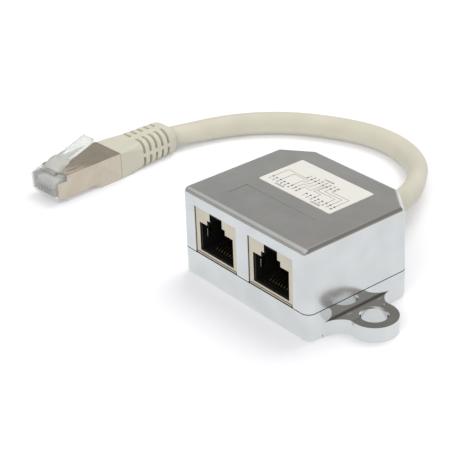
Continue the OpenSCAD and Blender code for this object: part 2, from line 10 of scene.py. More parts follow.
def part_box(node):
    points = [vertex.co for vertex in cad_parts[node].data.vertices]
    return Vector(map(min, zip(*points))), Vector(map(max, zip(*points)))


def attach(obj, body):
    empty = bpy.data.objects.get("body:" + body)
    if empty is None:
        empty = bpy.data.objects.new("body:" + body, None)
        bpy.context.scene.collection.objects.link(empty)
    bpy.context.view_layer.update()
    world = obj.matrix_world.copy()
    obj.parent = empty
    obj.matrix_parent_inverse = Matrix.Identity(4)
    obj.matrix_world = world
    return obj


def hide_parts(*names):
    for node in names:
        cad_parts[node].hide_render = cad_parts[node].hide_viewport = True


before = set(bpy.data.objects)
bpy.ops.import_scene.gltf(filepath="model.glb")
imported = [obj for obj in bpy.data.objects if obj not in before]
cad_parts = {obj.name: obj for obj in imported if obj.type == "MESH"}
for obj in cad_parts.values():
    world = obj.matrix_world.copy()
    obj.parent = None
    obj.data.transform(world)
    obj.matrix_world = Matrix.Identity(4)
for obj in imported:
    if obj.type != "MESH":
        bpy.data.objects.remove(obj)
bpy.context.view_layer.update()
print("frame loaded:", len(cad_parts), "nodes")

mm = 0.001


# small helpers
def linear(hexText):  # sRGB hex to the linear values that the sockets take
    parts = [int(hexText[i:i + 2], 16) / 255 for i in (1, 3, 5)]
    return [c / 12.92 if c <= 0.04045 else ((c + 0.055) / 1.055) ** 2.4 for c in parts] + [1]


def addNode(tree, kind, inputs=None, **settings):  # one node, its settings, and its values or links
    node = tree.nodes.new(kind)
    for key, value in settings.items():
        setattr(node, key, value)
    for socket, value in (inputs or {}).items():
        if isinstance(value, bpy.types.NodeSocket):
            tree.links.new(value, node.inputs[socket])
        else:
            node.inputs[socket].default_value = value
    return node


def perMetre(sizeInMm):  # texture scale that gives features of this size
    return 1000 / sizeInMm


def link(name, data):
    piece = bpy.data.objects.new(name, data)
    bpy.context.scene.collection.objects.link(piece)
    return piece


def baked(piece):  # the evaluated mesh takes the place of the piece and its modifiers
    bpy.context.view_layer.update()
    graph = bpy.context.evaluated_depsgraph_get()
    mesh = bpy.data.meshes.new_from_object(piece.evaluated_get(graph), preserve_all_data_layers=True,
                                           depsgraph=graph)
    name = piece.name
    bpy.data.objects.remove(piece)
    fresh = link(name, mesh)
    fresh.name = name
    return fresh


def paint(piece, material):
    piece.data.materials.clear()
    piece.data.materials.append(material)
    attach(piece, "root")
    return piece


def brokenEdges(piece, width, segments=2, angle=32):  # every sharp edge gets a small round, flat faces stay flat
    bevel = piece.modifiers.new("brokenEdges", "BEVEL")
    bevel.width = width
    bevel.segments = segments
    bevel.limit_method = "ANGLE"
    bevel.angle_limit = math.radians(angle)
    bevel.use_clamp_overlap = True
    weighted = piece.modifiers.new("flatFacesStayFlat", "WEIGHTED_NORMAL")
    weighted.mode = "FACE_AREA"
    weighted.weight = 90
    weighted.keep_sharp = True
    return baked(piece)


def roundedCopy(node, name, width, segments=2, angle=32, merge=0.5, reshape=None):
    # a CAD node's mesh, with its flat faces whole again and its sharp edges broken
    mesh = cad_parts[node].data.copy()
    bm = bmesh.new()
    bm.from_mesh(mesh)
    bmesh.ops.remove_doubles(bm, verts=bm.verts, dist=2e-6)
    bmesh.ops.dissolve_limit(bm, angle_limit=math.radians(merge), verts=bm.verts, edges=bm.edges)
    if reshape:
        for vert in bm.verts:
            vert.co = reshape(vert.co / mm) * mm
    for face in bm.faces:
        face.smooth = True
    bm.to_mesh(mesh)
    bm.free()
    mesh.materials.clear()
    piece = brokenEdges(link(name, mesh), width, segments, angle)
    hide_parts(node)
    return piece


def meshPiece(name, bm):  # closes the bmesh work: faces outwards, smooth, linked
    bmesh.ops.recalc_face_normals(bm, faces=bm.faces)
    for face in bm.faces:
        face.smooth = True
    mesh = bpy.data.meshes.new(name)
    bm.to_mesh(mesh)
    bm.free()
    return link(name, mesh)


def prism(bm, outline, along, low, high):  # outline in the two other axes, drawn out along one axis, in mm
    rings = []
    for at in (low, high):
        ring = []
        for u, v in outline:
            place = {"x": (at, u, v), "y": (u, at, v), "z": (u, v, at)}[along]
            ring.append(bm.verts.new(Vector(place) * mm))
        rings.append(ring)
    count = len(outline)
    for i in range(count):
        k = (i + 1) % count
        bm.faces.new((rings[0][i], rings[0][k], rings[1][k], rings[1][i]))
    bm.faces.new(rings[0])
    bm.faces.new(rings[1][::-1])


# camera, solved from the housing's edges
view = {
    "place": (0.231112, -0.203988, 0.184947),
    "azimuth": 51.919,
    "elevation": 28.855,
    "roll": -2.393,
    "lens": 110.51,
}


def makeCamera():
    az, el, roll = (math.radians(view[k]) for k in ("azimuth", "elevation", "roll"))
    back = Vector((math.sin(az) * math.cos(el), -math.cos(az) * math.cos(el), math.sin(el)))
    level = Vector((0, 0, 1)).cross(back).normalized()
    rise = back.cross(level)
    across = level * math.cos(roll) + rise * math.sin(roll)
    upward = rise * math.cos(roll) - level * math.sin(roll)
    data = bpy.data.cameras.new("camera")
    data.lens = view["lens"]
    data.sensor_width = 36
    data.clip_start = 0.01
    camera = link("camera", data)
    turn = Matrix((across, upward, back)).transposed().to_4x4()
    camera.matrix_world = Matrix.Translation(view["place"]) @ turn
    bpy.context.scene.camera = camera


makeCamera()
print("camera placed")


# materials
def blankMaterial(name):
    material = bpy.data.materials.new(name)
    material.use_nodes = True
    tree = material.node_tree
    tree.nodes.clear()
    surface = addNode(tree, "ShaderNodeBsdfPrincipled")
    addNode(tree, "ShaderNodeOutputMaterial", {"Surface": surface.outputs[0]})
    place = addNode(tree, "ShaderNodeTexCoord").outputs["Object"]
    return material, tree, surface, place


def noise(tree, place, size, detail=2.0, roughness=0.5):
    return addNode(tree, "ShaderNodeTexNoise", {
        "Vector": place, "Scale": perMetre(size), "Detail": detail, "Roughness": roughness}).outputs["Fac"]


def spread(tree, value, low, high, lowIn=0.3, highIn=0.7):  # a noise value brought into a range
    return addNode(tree, "ShaderNodeMapRange", {
        "Value": value, "From Min": lowIn, "From Max": highIn, "To Min": low, "To Max": high}).outputs[0]


def blendColors(tree, factor, first, second):
    return addNode(tree, "ShaderNodeMix", {
        "Factor": factor, "A": linear(first), "B": linear(second)}, data_type="RGBA").outputs["Result"]


def bump(tree, height, depthInMm, strength=1.0):
    return addNode(tree, "ShaderNodeBump", {
        "Height": height, "Distance": depthInMm * mm, "Strength": strength}).outputs[0]


def platedZinc(name, smooth, dull, relief):
    # die-cast zinc with nickel plate: a mirror, softened by the casting's skin and faint strokes of the polishing
    # the grey-brown in this list is painted shade for the casting's recesses
    look = {"light": "#E3E4E4", "dark": "#DADCDC", "hollow": "#7A736B", "reach": 0.0012,
            "skin": 0.35, "stroke": 0.30, "wave": 7.0}
    material, tree, surface, place = blankMaterial(name)
    upright = addNode(tree, "ShaderNodeMapping", {"Vector": place, "Scale": (1, 1, 0.06)}).outputs[0]
    stroke = noise(tree, upright, look["stroke"], 2)
    skin = noise(tree, place, look["skin"], 3)
    wave = noise(tree, place, look["wave"], 1)
    plate = blendColors(tree, spread(tree, wave, 0, 1), look["light"], look["dark"])
    # painted shade: ambient occlusion darkens the base colour towards a grey-brown in narrow recesses of the
    # casting, like the lug's hole
    seen = addNode(tree, "ShaderNodeAmbientOcclusion", {"Distance": look["reach"]}, only_local=True)
    paintedShadeMask = spread(tree, seen.outputs["AO"], 0, 1, 0.35, 0.9)
    tree.links.new(addNode(tree, "ShaderNodeMix", {"Factor": paintedShadeMask, "A": linear(look["hollow"]), "B": plate},
                           data_type="RGBA").outputs["Result"], surface.inputs["Base Color"])
    tree.links.new(spread(tree, skin, smooth, dull), surface.inputs["Roughness"])
    surface.inputs["Metallic"].default_value = 1
    rise = addNode(tree, "ShaderNodeMath", {0: wave, 1: 1.0, 2: spread(tree, skin, 0, relief)},
                   operation="MULTIPLY_ADD").outputs[0]
    rise = addNode(tree, "ShaderNodeMath", {0: rise, 1: spread(tree, stroke, 0, relief)}, operation="ADD").outputs[0]
    tree.links.new(bump(tree, rise, 0.05, 0.5), surface.inputs["Normal"])
    return material


def sheetMetal(name, light, dark, dull):
    # tinned sheet, folded after plating: faint rolling lines and a warm tone
    material, tree, surface, place = blankMaterial(name)
    rolled = addNode(tree, "ShaderNodeMapping", {"Vector": place, "Scale": (1, 0.05, 1)}).outputs[0]
    lines = noise(tree, rolled, 0.4, 2)
    cloud = noise(tree, place, 4.0, 2)
    tree.links.new(blendColors(tree, spread(tree, cloud, 0, 1), light, dark), surface.inputs["Base Color"])
    tree.links.new(spread(tree, lines, dull - 0.02, dull + 0.02), surface.inputs["Roughness"])
    surface.inputs["Metallic"].default_value = 1
    tree.links.new(bump(tree, lines, 0.0015, 0.4), surface.inputs["Normal"])
    return material


def mouldedPlastic(name, light, dark, roughness, grain=0.25, depth=0.006):
    # moulded PVC or PBT: an even colour with a fine spark-eroded skin
    material, tree, surface, place = blankMaterial(name)
    cloud = noise(tree, place, 9.0, 2)
    skin = noise(tree, place, grain, 2)
    tree.links.new(blendColors(tree, spread(tree, cloud, 0, 1), light, dark), surface.inputs["Base Color"])
    tree.links.new(spread(tree, skin, roughness - 0.05, roughness + 0.05), surface.inputs["Roughness"])
    surface.inputs["IOR"].default_value = 1.53
    tree.links.new(bump(tree, skin, depth, 0.6), surface.inputs["Normal"])
    return material


def clearPolycarbonate():
    # moulded polycarbonate: glass-clear, with a slightly frosted skin from the tool
    material, tree, surface, place = blankMaterial("clearPolycarbonate")
    skin = noise(tree, place, 0.6, 2)
    surface.inputs["Base Color"].default_value = linear("#F4F5F2")
    surface.inputs["Transmission Weight"].default_value = 0.72
    surface.inputs["IOR"].default_value = 1.08  # thin walls bend the view far less than a solid block
    surface.inputs["Coat Weight"].default_value = 0.8
    surface.inputs["Coat Roughness"].default_value = 0.08
    tree.links.new(spread(tree, skin, 0.06, 0.16), surface.inputs["Roughness"])
    tree.links.new(bump(tree, skin, 0.01, 0.4), surface.inputs["Normal"])
    return material


def wireInsulation(name, base, stripe, pitch):
    # extruded polyethylene; the partner wire of a pair has a stripe of the pair's colour
    material, tree, surface, place = blankMaterial(name)
    bands = addNode(tree, "ShaderNodeTexWave", {
        "Vector": place, "Scale": perMetre(pitch) / 6.2832, "Distortion": 0.0},
        wave_type="BANDS", bands_direction="Y")
    cut = spread(tree, bands.outputs["Fac"], 0, 1, 0.42, 0.5)
    tree.links.new(blendColors(tree, cut, stripe, base), surface.inputs["Base Color"])
    surface.inputs["Roughness"].default_value = 0.38
    skin = noise(tree, place, 0.2, 2)
    tree.links.new(bump(tree, skin, 0.003, 0.5), surface.inputs["Normal"])
    return material


def labelPaper():
    # coated paper: nearly white, with short fibres under the coat
    material, tree, surface, place = blankMaterial("coatedPaper")
    fibre = noise(tree, place, 0.5, 4, 0.6)
    tree.links.new(blendColors(tree, spread(tree, fibre, 0, 1), "#E9E6DE", "#E3E0D7"),
                   surface.inputs["Base Color"])
    surface.inputs["Roughness"].default_value = 0.62
    tree.links.new(bump(tree, fibre, 0.01, 0.4), surface.inputs["Normal"])
    return material


satinZinc = platedZinc("satinNickelPlatedZinc", 0.13, 0.20, 0.012)
brightZinc = platedZinc("brightNickelPlatedZinc", 0.05, 0.10, 0.008)
jackTin = sheetMetal("tinnedJackShield", "#D9D0C0", "#D2C9B8", 0.27)
plugTin = sheetMetal("platedPlugShield", "#D5CABA", "#CDC1B0", 0.22)
screwSteel = sheetMetal("zincPlatedSteel", "#B9BDBF", "#A5A9AB", 0.34)
ferruleBrass = sheetMetal("nickelledBrass", "#B9AC84", "#A99C75", 0.36)
contactGold = sheetMetal("goldPlatedContact", "#6E5E3C", "#5F5133", 0.42)
blackPlastic = mouldedPlastic("blackPbt", "#141312", "#1A1918", 0.42)
boardLaminate = mouldedPlastic("greenBoardLaminate", "#1E5A34", "#194E2C", 0.35, 0.4, 0.004)
sheathPvc = mouldedPlastic("paleSheathPvc", "#D9D4C1", "#D2CDB9", 0.44, 0.3, 0.008)
bootPvc = mouldedPlastic("paleBootPvc", "#D8D4C2", "#D2CEBB", 0.46, 0.3, 0.008)
clearBody = clearPolycarbonate()
paper = labelPaper()
ink = mouldedPlastic("printedInk", "#3A3631", "#45413B", 0.6)
print("materials made")


# cable: a smooth line through the CAD route's points, swept with an oval section by Geometry Nodes
cable = {
    "width": 5.5, "height": 6.9, "sides": 40, "stepsPerSpan": 8,
    "twist": [(0, 0), (0.20, 0), (0.42, 42), (0.76, 42), (0.95, 125), (1, 125)],  # share of the length, degrees
    "route": [
        (0, 11.2, 10.5), (0, 19.5, 10.5), (0.5, 27, 10.3), (0.5, 33, 9.8), (-1.5, 38.5, 9),
        (-4.5, 44, 7.9), (-8, 49, 6.8), (-12, 54, 5.8), (-16.5, 58.8, 4.9), (-22, 63, 4.1),
        (-28.5, 66.2, 3.6), (-36, 67.8, 3.5), (-44, 67.3, 3.5), (-52, 64.9, 3.5), (-59.5, 61.3, 3.5),
        (-66.5, 56.7, 3.5), (-72.5, 51, 3.5), (-77.5, 44, 3.5), (-81, 36.5, 3.5), (-83.2, 29, 3.7),
        (-84.7, 24, 3.9), (-85.2, 20, 4.1), (-84.6, 10, 4.1), (-83.9, -0.8, 4.1)],
}


def smoothLine(points, steps):  # Catmull-Rom curve through the points
    points = [Vector(p) for p in points]
    ends = [2 * points[0] - points[1]] + points + [2 * points[-1] - points[-2]]
    line = []
    for i in range(1, len(ends) - 2):
        a, b, c, d = ends[i - 1:i + 3]
        for k in range(steps):
            t = k / steps
            line.append(0.5 * (2 * b + (c - a) * t + (2 * a - 5 * b + 4 * c - d) * t ** 2
                               + (3 * b - a - 3 * c + d) * t ** 3))
    return line + [points[-1]]


def polyCurve(name, lines, twist=None):  # one open spline for each line of points
    data = bpy.data.curves.new(name, "CURVE")
    data.dimensions = "3D"
    data.twist_mode = "Z_UP"
    for points in lines:
        spline = data.splines.new("POLY")
        spline.points.add(len(points) - 1)
        for i, place in enumerate(points):
            spline.points[i].co = (*place, 1)
            if twist:
                spline.points[i].tilt = math.radians(between(twist, i / (len(points) - 1)))
    return link(name, data)


def between(stops, at):  # straight steps between the stops
    for (x0, y0), (x1, y1) in zip(stops, stops[1:]):
        if at <= x1:
            return y0 + (y1 - y0) * (at - x0) / (x1 - x0)
    return stops[-1][1]


def socketsIn(tree, wanted):  # named inputs of a tree, with their defaults
    tree.interface.new_socket("Geometry", in_out="INPUT", socket_type="NodeSocketGeometry")
    for name, (kind, value) in wanted.items():
        socket = tree.interface.new_socket(name, in_out="INPUT", socket_type="NodeSocket" + kind)
        if value is not None:
            socket.default_value = value
    tree.interface.new_socket("Geometry", in_out="OUTPUT", socket_type="NodeSocketGeometry")
    return addNode(tree, "NodeGroupInput").outputs


def runTree(piece, tree, values):  # puts the tree on the piece, sets its inputs and keeps the plain mesh
    modifier = piece.modifiers.new("shape", "NODES")
    modifier.node_group = tree
    for item in tree.interface.items_tree:
        if item.item_type == "SOCKET" and item.in_out == "INPUT" and item.name in values:
            modifier[item.identifier] = values[item.name]
    return baked(piece)


def sweepTree():
    tree = bpy.data.node_groups.new("sweptOval", "GeometryNodeTree")
    given = socketsIn(tree, {"Width": ("Float", 0.005), "Height": ("Float", 0.005), "Sides": ("Int", 32),
                             "Finish": ("Material", None)})
    circle = addNode(tree, "GeometryNodeCurvePrimitiveCircle", {"Resolution": given["Sides"], "Radius": 0.5})
    scale = addNode(tree, "ShaderNodeCombineXYZ", {"X": given["Width"], "Y": given["Height"], "Z": 1.0})
    oval = addNode(tree, "GeometryNodeTransform", {
        "Geometry": circle.outputs["Curve"], "Scale": scale.outputs[0]})
    tube = addNode(tree, "GeometryNodeCurveToMesh", {
        "Curve": given["Geometry"], "Profile Curve": oval.outputs[0], "Fill Caps": True})
    smooth = addNode(tree, "GeometryNodeSetShadeSmooth", {"Geometry": tube.outputs[0]})
    whole = addNode(tree, "GeometryNodeRealizeInstances", {"Geometry": smooth.outputs[0]})
    done = addNode(tree, "GeometryNodeSetMaterial", {"Geometry": whole.outputs[0], "Material": given["Finish"]})
    addNode(tree, "NodeGroupOutput", {"Geometry": done.outputs[0]})
    return tree


sweptOval = sweepTree()


def pathLength(points):
    return sum((b - a).length for a, b in zip(points, points[1:]))


cableLine = [p * mm for p in smoothLine(cable["route"], cable["stepsPerSpan"])]
cablePiece = runTree(polyCurve("cableSheath", [cableLine], cable["twist"]), sweptOval, {
    "Width": cable["width"] * mm, "Height": cable["height"] * mm, "Sides": cable["sides"], "Finish": sheathPvc})
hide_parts("cable")
paint(cablePiece, sheathPvc)
print(f"cable made, {pathLength(cableLine) * 1000:.1f} mm long")


# floor, world and lamps
studio = {
    "floor": "#F1F1F3", "floorSize": 6.0, "lift": 0.17,
    "mirroredFloor": "#EEF1F3", "mirroredShare": 0.82,  # bright metal sees less of the shadows than the eye does
    "fill": 0.60, "fillTint": "#FCFCFE",
    # what bright metal mirrors, by the height of the ray: left of the object, then right and behind it
    "roomLeft": [(0.0, "#8F8F8D"), (0.10, "#989896"), (0.17, "#B8B7B4"), (0.43, "#B2B1AE"), (0.475, "#9A9895"),
                 (0.53, "#9C9A97"), (0.62, "#C8C6C3"), (0.74, "#D2D0CD"), (1.0, "#DADAD8")],
    "roomRight": [(0.0, "#FFFFFF"), (0.22, "#FFFFFF"), (0.30, "#DAD7D3"), (0.44, "#B4B0AB"), (0.50, "#A8A39E"),
                  (0.62, "#8A847E"), (0.86, "#8A837D"), (0.93, "#C2BEB9"), (1.0, "#DADAD8")],
    "roomTurn": ((0.77, 0.64), -0.15, 0.30),
    "lamps": {  # place, aim, size in metres, watts, shows in bright metal
        "keyLamp": ((-0.10, 0.40, 0.80), (0, 0, 0.0), 0.60, 3.0, False),
        "frontLamp": ((0.30, -0.60, 0.55), (0, 0, 0.01), 0.60, 2.6, False),
    },
}


def makeFloor():
    half = studio["floorSize"] / 2
    mesh = bpy.data.meshes.new("floor")
    mesh.from_pydata([(-half, -half, 0), (half, -half, 0), (half, half, 0), (-half, half, 0)], [], [(0, 1, 2, 3)])
    floor = link("floor", mesh)
    material = bpy.data.materials.new("seamlessPaper")
    material.use_nodes = True
    tree = material.node_tree
    tree.nodes.clear()
    sheet = addNode(tree, "ShaderNodeBsdfDiffuse", {"Color": linear(studio["floor"])})
    ray = addNode(tree, "ShaderNodeLightPath").outputs
    seen = addNode(tree, "ShaderNodeMath", {0: ray["Is Camera Ray"], 1: ray["Is Glossy Ray"]}, operation="MAXIMUM")
    seen = addNode(tree, "ShaderNodeMath", {0: seen.outputs[0], 1: ray["Is Transmission Ray"]},
                   operation="MAXIMUM")
    glow = addNode(tree, "ShaderNodeMath", {0: seen.outputs[0], 1: studio["lift"]}, operation="MULTIPLY")
    lift = addNode(tree, "ShaderNodeEmission", {"Strength": glow.outputs[0]})
    both = addNode(tree, "ShaderNodeAddShader", {0: sheet.outputs[0], 1: lift.outputs[0]})
    bright = addNode(tree, "ShaderNodeEmission", {"Color": linear(studio["mirroredFloor"]), "Strength": 1.0})
    share = addNode(tree, "ShaderNodeMath", {0: ray["Is Glossy Ray"], 1: studio["mirroredShare"]},
                    operation="MULTIPLY")
    last = addNode(tree, "ShaderNodeMixShader", {0: share.outputs[0], 1: both.outputs[0], 2: bright.outputs[0]})
    addNode(tree, "ShaderNodeOutputMaterial", {"Surface": last.outputs[0]})
    mesh.materials.append(material)


def roomRamp(tree, height, stops):
    ramp = addNode(tree, "ShaderNodeValToRGB", {"Fac": height})
    for i, (at, shade) in enumerate(stops):
        stop = ramp.color_ramp.elements[i] if i < 2 else ramp.color_ramp.elements.new(at)
        stop.position = at
        stop.color = linear(shade)
    return ramp.outputs[0]


def makeWorld():
    world = bpy.data.worlds.new("studio")
    bpy.context.scene.world = world
    world.use_nodes = True
    tree = world.node_tree
    tree.nodes.clear()
    toward = addNode(tree, "ShaderNodeTexCoord").outputs["Generated"]
    height = addNode(tree, "ShaderNodeSeparateXYZ", {0: toward}).outputs["Z"]
    (turnX, turnY), turnStart, turnEnd = studio["roomTurn"]
    aside = addNode(tree, "ShaderNodeVectorMath", {0: toward, 1: (turnX, turnY, 0)}, operation="DOT_PRODUCT")
    side = spread(tree, aside.outputs["Value"], 0, 1, turnStart, turnEnd)
    room = addNode(tree, "ShaderNodeMix", {
        "Factor": side, "A": roomRamp(tree, height, studio["roomLeft"]),
        "B": roomRamp(tree, height, studio["roomRight"])}, data_type="RGBA")
    ray = addNode(tree, "ShaderNodeLightPath").outputs
    fill = addNode(tree, "ShaderNodeBackground", {"Color": linear(studio["fillTint"]), "Strength": studio["fill"]})
    shown = addNode(tree, "ShaderNodeBackground", {"Color": room.outputs["Result"], "Strength": 1.0})
    white = addNode(tree, "ShaderNodeBackground", {"Color": (1, 1, 1, 1), "Strength": 1.0})
    first = addNode(tree, "ShaderNodeMixShader", {0: ray["Is Glossy Ray"], 1: fill.outputs[0], 2: shown.outputs[0]})
    clear = addNode(tree, "ShaderNodeMath", {0: ray["Is Camera Ray"], 1: ray["Is Transmission Ray"]},
                    operation="MAXIMUM")
    last = addNode(tree, "ShaderNodeMixShader", {0: clear.outputs[0], 1: first.outputs[0], 2: white.outputs[0]})
    addNode(tree, "ShaderNodeOutputWorld", {"Surface": last.outputs[0]})


def makeLamps():
    for name, (place, aim, size, watts, mirrored) in studio["lamps"].items():
        data = bpy.data.lights.new(name, "AREA")
        data.shape = "DISK"
        data.size = size
        data.energy = watts
        lamp = link(name, data)
        lamp.visible_glossy = mirrored
        turn = (Vector(place) - Vector(aim)).to_track_quat("Z", "Y").to_matrix().to_4x4()
        lamp.matrix_world = Matrix.Translation(place) @ turn


makeFloor()
makeWorld()
makeLamps()
bpy.context.scene.view_settings.view_transform = "Standard"
print("studio made")


# trees for what repeats
def rowTree():  # copies of one part in a row
    tree = bpy.data.node_groups.new("rowOfParts", "GeometryNodeTree")
    given = socketsIn(tree, {"Count": ("Int", 8), "Pitch": ("Float", 0.001), "Finish": ("Material", None)})
    last = addNode(tree, "ShaderNodeMath", {0: given["Count"], 1: 1.0}, operation="SUBTRACT")
    reach = addNode(tree, "ShaderNodeMath", {0: last.outputs[0], 1: given["Pitch"]}, operation="MULTIPLY")
    half = addNode(tree, "ShaderNodeMath", {0: reach.outputs[0], 1: -0.5}, operation="MULTIPLY")
    start = addNode(tree, "ShaderNodeCombineXYZ", {"X": half.outputs[0]})
    step = addNode(tree, "ShaderNodeCombineXYZ", {"X": given["Pitch"]})
    line = addNode(tree, "GeometryNodeMeshLine", {
        "Count": given["Count"], "Start Location": start.outputs[0], "Offset": step.outputs[0]}, mode="OFFSET")
    copies = addNode(tree, "GeometryNodeInstanceOnPoints", {
        "Points": line.outputs[0], "Instance": given["Geometry"]})
    whole = addNode(tree, "GeometryNodeRealizeInstances", {"Geometry": copies.outputs[0]})
    done = addNode(tree, "GeometryNodeSetMaterial", {"Geometry": whole.outputs[0], "Material": given["Finish"]})
    addNode(tree, "NodeGroupOutput", {"Geometry": done.outputs[0]})
    return tree


def pipTree():  # a flattened dome on every point of the mesh that is given
    tree = bpy.data.node_groups.new("raisedMarks", "GeometryNodeTree")
    given = socketsIn(tree, {"Across": ("Float", 0.001), "Along": ("Float", 0.001), "Rise": ("Float", 0.0002),
                             "Finish": ("Material", None)})
    ball = addNode(tree, "GeometryNodeMeshUVSphere", {"Segments": 20, "Rings": 12, "Radius": 0.5})
    rise = addNode(tree, "ShaderNodeMath", {0: given["Rise"], 1: 2.0}, operation="MULTIPLY")
    size = addNode(tree, "ShaderNodeCombineXYZ", {"X": given["Across"], "Y": given["Along"], "Z": rise.outputs[0]})
    copies = addNode(tree, "GeometryNodeInstanceOnPoints", {
        "Points": given["Geometry"], "Instance": ball.outputs["Mesh"], "Scale": size.outputs[0]})
    whole = addNode(tree, "GeometryNodeRealizeInstances", {"Geometry": copies.outputs[0]})
    smooth = addNode(tree, "GeometryNodeSetShadeSmooth", {"Geometry": whole.outputs[0]})
    done = addNode(tree, "GeometryNodeSetMaterial", {"Geometry": smooth.outputs[0], "Material": given["Finish"]})
    addNode(tree, "NodeGroupOutput", {"Geometry": done.outputs[0]})
    return tree


def ribbonTree():  # printed lines: every curve becomes a flat strip
    tree = bpy.data.node_groups.new("printedLines", "GeometryNodeTree")
    given = socketsIn(tree, {"Width": ("Float", 0.0001), "Finish": ("Material", None)})
    half = addNode(tree, "ShaderNodeMath", {0: given["Width"], 1: 0.5}, operation="MULTIPLY")
    back = addNode(tree, "ShaderNodeMath", {0: half.outputs[0], 1: -1.0}, operation="MULTIPLY")
    edge = addNode(tree, "GeometryNodeCurvePrimitiveLine", {
        "Start": addNode(tree, "ShaderNodeCombineXYZ", {"X": back.outputs[0]}).outputs[0],
        "End": addNode(tree, "ShaderNodeCombineXYZ", {"X": half.outputs[0]}).outputs[0]})
    strip = addNode(tree, "GeometryNodeCurveToMesh", {
        "Curve": given["Geometry"], "Profile Curve": edge.outputs[0]})
    whole = addNode(tree, "GeometryNodeRealizeInstances", {"Geometry": strip.outputs[0]})
    done = addNode(tree, "GeometryNodeSetMaterial", {"Geometry": whole.outputs[0], "Material": given["Finish"]})
    addNode(tree, "NodeGroupOutput", {"Geometry": done.outputs[0]})
    return tree


def slotTree():  # rings of slots cut into a moulded form; the cutter is one ring, repeated along the form
    tree = bpy.data.node_groups.new("slottedForm", "GeometryNodeTree")
    given = socketsIn(tree, {"Cutter": ("Object", None), "Rings": ("Int", 5), "Pitch": ("Float", 0.002),
                             "Finish": ("Material", None)})
    ring = addNode(tree, "GeometryNodeObjectInfo", {"Object": given["Cutter"], "As Instance": True})
    step = addNode(tree, "ShaderNodeCombineXYZ", {"Y": given["Pitch"]})
    line = addNode(tree, "GeometryNodeMeshLine", {"Count": given["Rings"], "Offset": step.outputs[0]}, mode="OFFSET")
    rings = addNode(tree, "GeometryNodeInstanceOnPoints", {
        "Points": line.outputs[0], "Instance": ring.outputs["Geometry"]})
    solid = addNode(tree, "GeometryNodeRealizeInstances", {"Geometry": rings.outputs[0]})
    cut = addNode(tree, "GeometryNodeMeshBoolean", {
        "Mesh 1": given["Geometry"], "Mesh 2": solid.outputs[0]}, operation="DIFFERENCE", solver="EXACT")
    whole = addNode(tree, "GeometryNodeRealizeInstances", {"Geometry": cut.outputs["Mesh"]})
    done = addNode(tree, "GeometryNodeSetMaterial", {"Geometry": whole.outputs[0], "Material": given["Finish"]})
    addNode(tree, "NodeGroupOutput", {"Geometry": done.outputs[0]})
    return tree


rowOfParts, raisedMarks, printedLines, slottedForm = rowTree(), pipTree(), ribbonTree(), slotTree()
print("trees made")


def pointMesh(name, places):  # loose points, in mm
    mesh = bpy.data.meshes.new(name)
    mesh.from_pydata([Vector(p) * mm for p in places], [], [])
    return link(name, mesh)


# housing: the cast shells, with their edges broken by the tumbling before plating
housing = {
    "edge": 0.22, "lipEdge": 0.18,
    "wall": 23.8, "lugTop": 4.1, "lugMiddle": -2.85, "flareReach": 3.2, "flareFront": 1.16, "flareBack": 1.07,
    "marks": [(24.75, -6.95), (24.75, 3.1)], "markSize": (0.45, 1.5, 0.13),
    "dots": [(27.5, 2.1)], "dotSize": (0.55, 0.55, 0.12),
}


def widerFlare(place):  # the lugs' necks run out a little further along the wall
    out = abs(place.x) - housing["wall"]
    if -0.9 < out < housing["flareReach"] and place.z < housing["lugTop"] + 0.1:
        share = 1 - max(out, 0) / housing["flareReach"]
        away = place.y - housing["lugMiddle"]
        if 4 < abs(away) < 12.5:
            most = housing["flareFront"] if away < 0 else housing["flareBack"]
            place = Vector((place.x, housing["lugMiddle"] + away * (1 + (most - 1) * share), place.z))
    return place


upper = roundedCopy("upper_shell", "upperCasting", housing["lipEdge"] * mm, 2)
paint(upper, satinZinc)
lower = roundedCopy("lower_shell", "lowerCasting", housing["edge"] * mm, 2, reshape=widerFlare)
paint(lower, brightZinc)
for kind in ("mark", "dot"):
    across, along, rise = (v * mm for v in housing[kind + "Size"])
    places = [(side * x, y, housing["lugTop"]) for x, y in housing[kind + "s"] for side in (-1, 1)]
    marks = runTree(pointMesh(f"lug{kind.title()}s", places), raisedMarks, {
        "Across": across, "Along": along, "Rise": rise, "Finish": brightZinc})
    paint(marks, brightZinc)
screws = roundedCopy("case_screws", "caseScrews", 0.08 * mm, 1)
paint(screws, screwSteel)
print("housing made")


# label: paper with a numbered wiring plan
label = {
    "lift": 0.012, "pitch": 0.0538, "dot": 0.52, "digit": 1.25, "smallDigit": 0.85, "lineWidth": 0.15,
    # rows, as shares of the label's width and depth: first dot, height of the dots, of the digits, of the small row
    "blocks": {"left": (0.070, 0.225, 0.150, (0.25, 0.078)), "right": (0.560, 0.205, 0.130, (0.76, 0.062)),
               "upper": (0.325, 0.607, 0.675, (0.525, 0.765))},
    "smallText": "12345678",
    # each wire: upper contact, lower block and its contact, and the height at which it turns
    "wires": [(0, "left", 0, 0.575), (1, "left", 2, 0.53), (2, "left", 5, 0.466), (3, "left", 6, 0.40),
              (4, "left", 7, 0.33), (4.6, "right", 2, 0.345), (5, "right", 5, 0.40), (6, "right", 6, 0.466),
              (7, "right", 7, 0.537)],
}
(labelLow, labelHigh) = (Vector(corner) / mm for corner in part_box("label"))


def onLabel(u, v):  # a place on the paper, from the shares of its width and depth, in mm
    return Vector((labelLow.x + u * (labelHigh.x - labelLow.x), labelLow.y + v * (labelHigh.y - labelLow.y),
                   labelHigh.z + label["lift"]))


def digitMesh(text, size, place):  # one number as flat type, brought to its place
    data = bpy.data.curves.new("digit", "FONT")
    data.body = text
    data.size = size
    data.align_x = "CENTER"
    data.align_y = "CENTER"
    data.offset = size * 0.012
    data.fill_mode = "FRONT"
    data.resolution_u = 2
    piece = link("digit", data)
    bpy.context.view_layer.update()
    graph = bpy.context.evaluated_depsgraph_get()
    mesh = bpy.data.meshes.new_from_object(piece.evaluated_get(graph), depsgraph=graph)
    bpy.data.objects.remove(piece)
    mesh.transform(Matrix.Translation(place))
    return mesh


